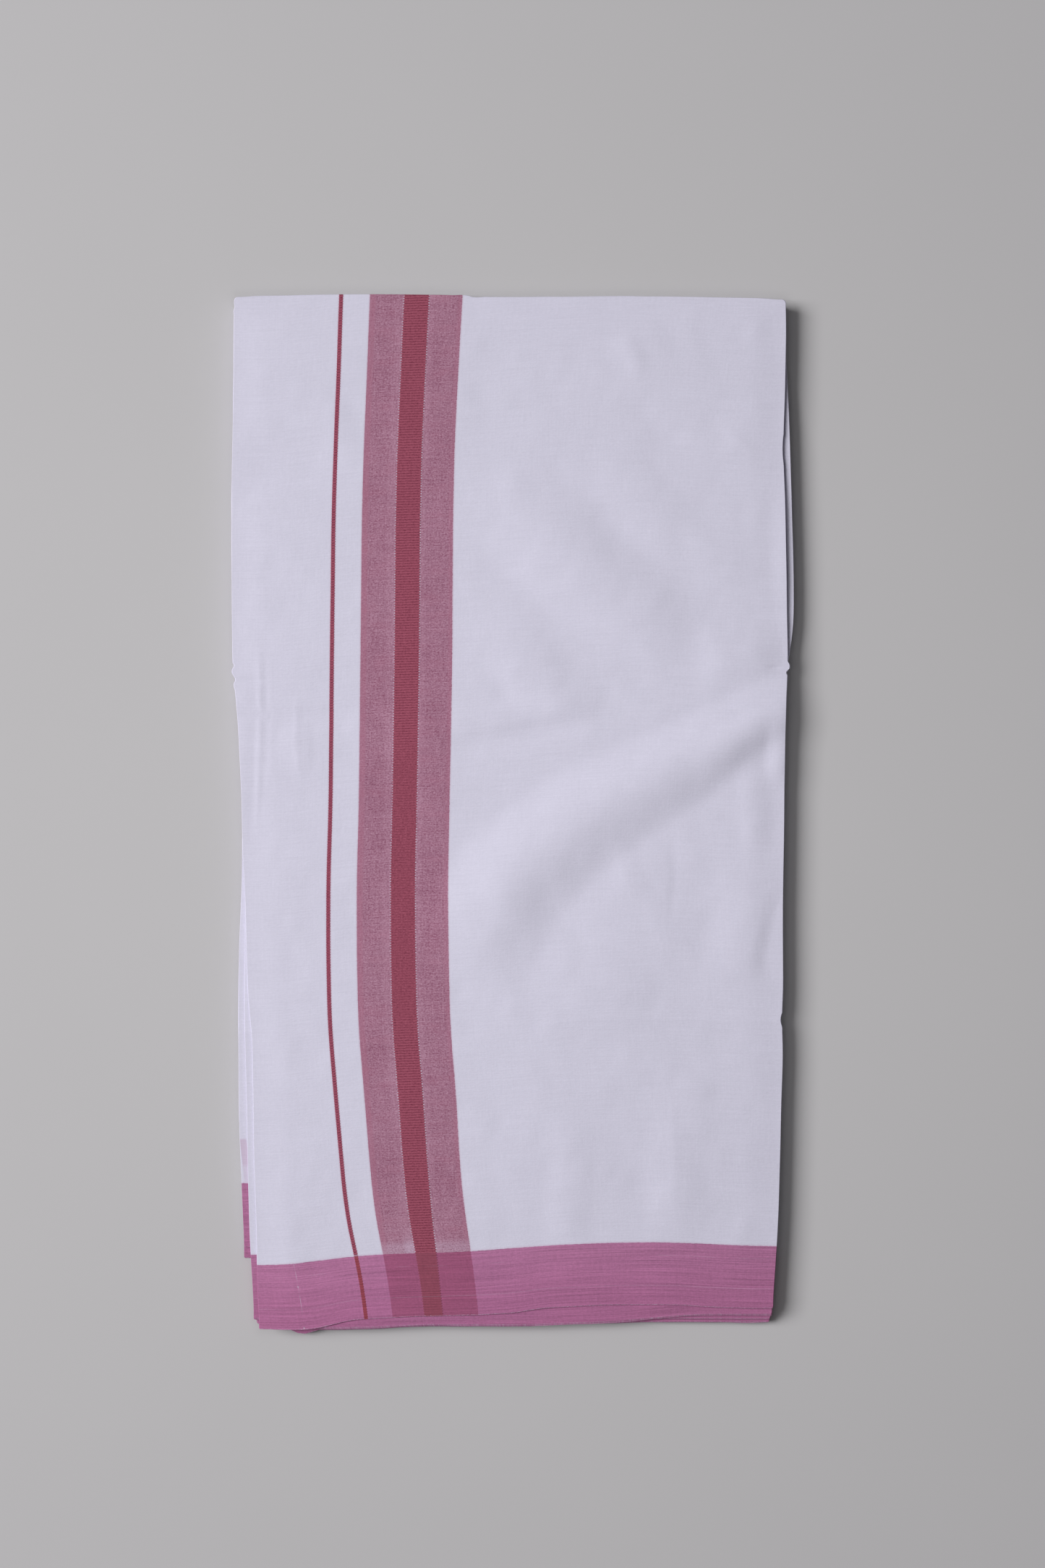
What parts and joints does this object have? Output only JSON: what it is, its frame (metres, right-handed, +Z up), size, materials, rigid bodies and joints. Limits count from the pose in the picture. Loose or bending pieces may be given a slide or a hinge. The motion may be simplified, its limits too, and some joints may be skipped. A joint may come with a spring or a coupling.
{
  "type": "folded dhoti cloth",
  "caption": "White cotton dhoti folded flat into a pile, with a pink selvedge border, a pink and red cross band and a thin red line.",
  "frame": {"origin": "on the resting face, under the middle of the pile's box", "axes": "+X along the selvedges, +Y from the selvedges to the back fold, +Z up through the pile"},
  "size_m": [0.3418, 0.6295, 0.0143],
  "materials": {
    "bordered_cotton": "matt white plain-weave cotton with woven pink border and cross band",
    "folded_edges": "matt white cotton seen at its folds and pink selvedges"
  },
  "bodies": {
    "root": {"top_leaf": "bordered_cotton", "second_leaf": "bordered_cotton", "third_leaf": "bordered_cotton", "lower_fold": "bordered_cotton", "folded_core": "folded_edges", "bottom_leaf": "folded_edges"}
  },
  "joints": []
}
